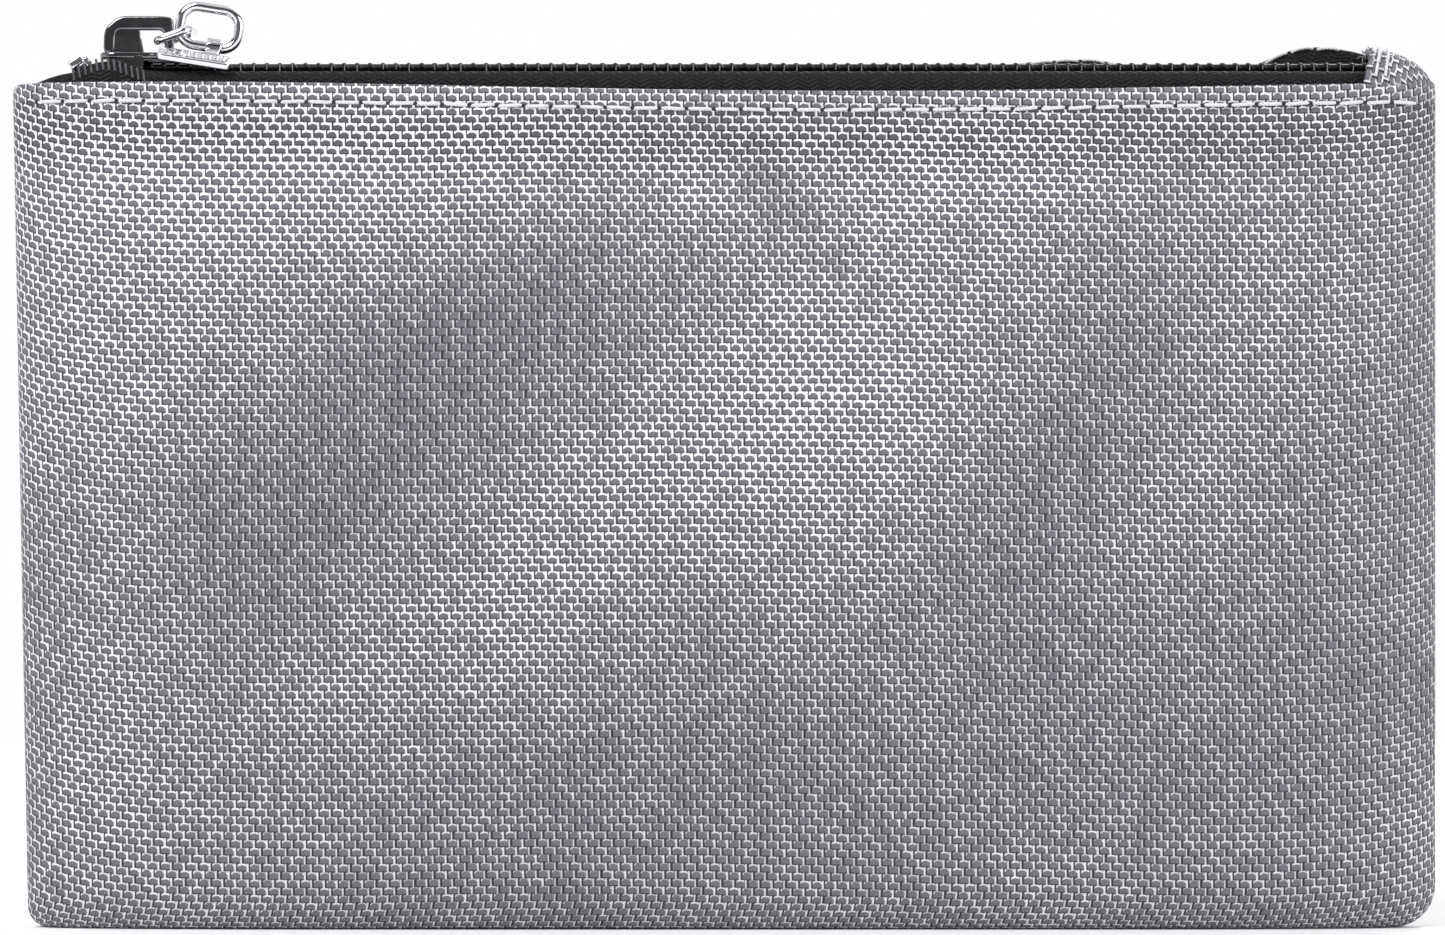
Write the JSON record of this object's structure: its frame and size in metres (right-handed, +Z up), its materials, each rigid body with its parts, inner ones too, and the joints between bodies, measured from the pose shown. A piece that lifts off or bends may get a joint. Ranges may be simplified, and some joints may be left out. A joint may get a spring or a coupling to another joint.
{
  "type": "lipo safe bag",
  "caption": "Flat zip pouch of coarse silver-grey cloth with a lining, for storing and charging small lithium batteries.",
  "frame": {"origin": "centre of the pouch's box in X and Y, at the flat fold it stands on", "axes": "+X along the zip from the closed end to the open end, -Y out of the front panel, +Z up towards the zip"},
  "size_m": [0.17, 0.016, 0.1105],
  "materials": {
    "silver_cloth": "coarse plain weave with a metallic glint",
    "lining": "matt glass-fibre cloth",
    "binding": "matt woven tape",
    "thread": "twisted polyester thread",
    "black_tape": "matt herringbone zip tape",
    "black_nylon": "satin nylon",
    "bright_metal": "polished plate",
    "black_chrome": "polished dark plate"
  },
  "bodies": {
    "pouch": {"front_panel": "silver_cloth", "back_panel": "silver_cloth", "front_liner": "lining", "back_liner": "lining", "left_seam_binding": "binding", "right_seam_binding": "binding", "bottom_seam_binding": "binding", "left_seam_thread": "thread", "right_seam_thread": "thread", "bottom_seam_thread": "thread", "front_topstitch": "thread", "back_topstitch": "thread", "front_zipper_tape": "black_tape", "back_zipper_tape": "black_tape", "front_coil": "black_nylon", "back_coil": "black_nylon", "front_coil_cord": "black_nylon", "back_coil_cord": "black_nylon", "front_top_stop": "bright_metal", "back_top_stop": "bright_metal", "right_end_tab": "silver_cloth", "end_tab_thread": "thread"},
    "slider": {"slider_body": "black_chrome", "slider_crown": "black_chrome", "lock_pin": "bright_metal"},
    "link": {"pull_link": "bright_metal"},
    "ring": {"pull_ring": "bright_metal"},
    "tab": {"pull_tab": "bright_metal"}
  },
  "joints": [
    {"name": "slider_slide", "type": "slide", "parent": "pouch", "child": "slider", "axis": [1, 0, 0], "range_m": [0, 0.132]},
    {"name": "link_swing", "type": "hinge", "parent": "slider", "child": "link", "pos_m": [-0.06755, 0, 0.10575], "axis": [0, -1, 0], "range_deg": [0, 100]},
    {"name": "ring_swing", "type": "hinge", "parent": "link", "child": "ring", "pos_m": [-0.0636, -0.0021, 0.10719], "axis": [0, -1, 0], "range_deg": [0, 70]},
    {"name": "tab_swing", "type": "hinge", "parent": "ring", "child": "tab", "pos_m": [-0.06082, -0.0021, 0.10492], "axis": [-0.9877, 0, 0.1564], "range_deg": [0, 40]}
  ]
}
